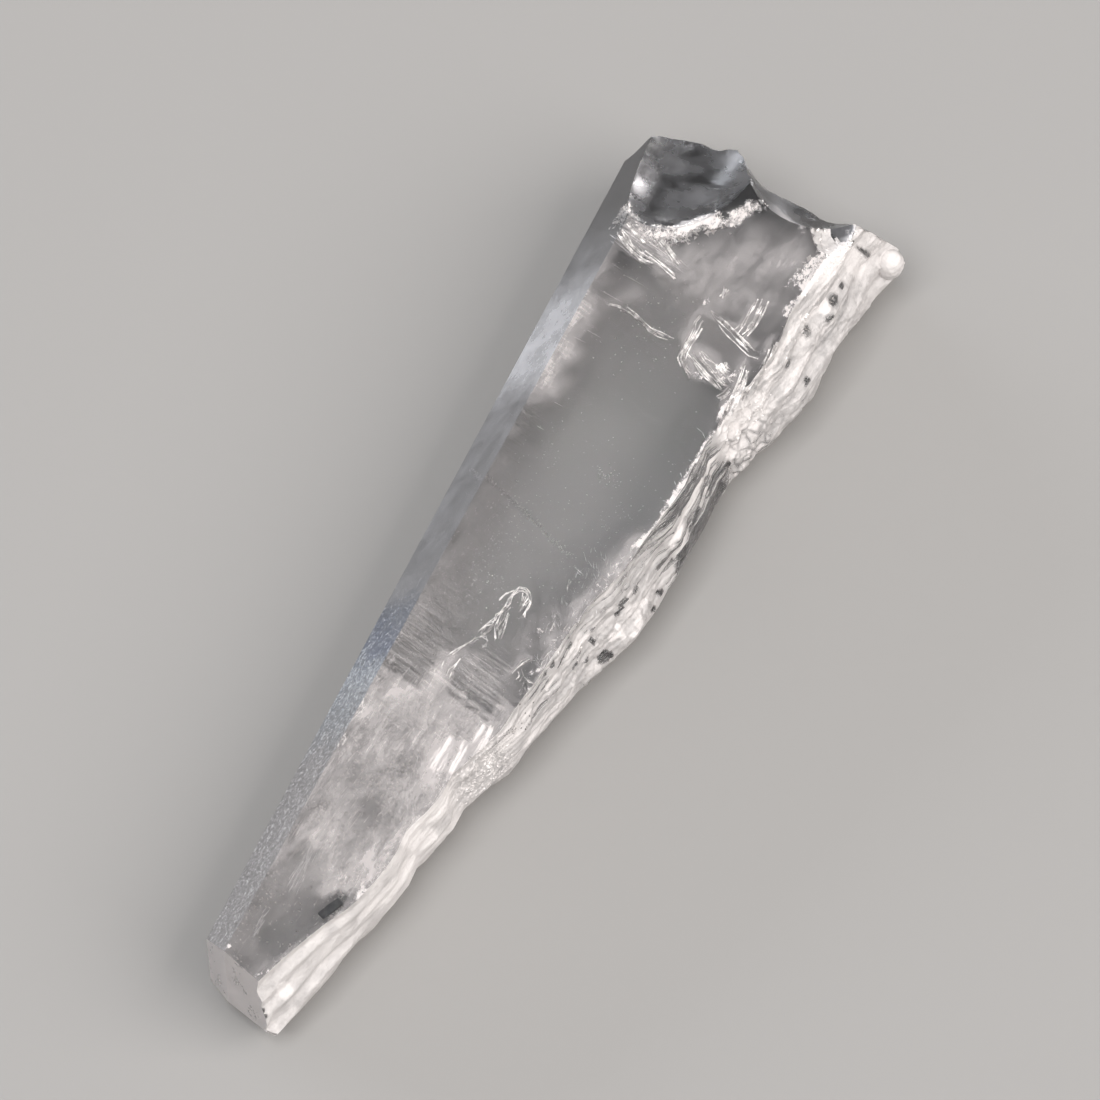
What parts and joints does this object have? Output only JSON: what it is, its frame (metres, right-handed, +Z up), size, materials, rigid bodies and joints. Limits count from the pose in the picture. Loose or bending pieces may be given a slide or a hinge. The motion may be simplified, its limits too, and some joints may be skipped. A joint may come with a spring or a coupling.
{
  "type": "nifontovite crystal",
  "caption": "Loose clear crystal: a flattened prism that tapers to a wedge, with one straight side, one splintered side and a broken end; it lies on its lower face.",
  "frame": {"origin": "on the floor plane, under the middle of the bounding box", "axes": "+X from the narrow wedge end to the broad broken end, +Y towards the straight side, +Z up from the face that it lies on"},
  "size_m": [0.04, 0.0114, 0.0058],
  "materials": {
    "clear_crystal": "colourless and see-through: glassy growth faces, frosted fractures",
    "white_inclusions": "milky white veils, healed cracks and splinters, matt to silky",
    "grey_inclusion": "dark glassy tablet"
  },
  "bodies": {
    "root": {"nifontovite_crystal": "clear_crystal"}
  },
  "joints": []
}
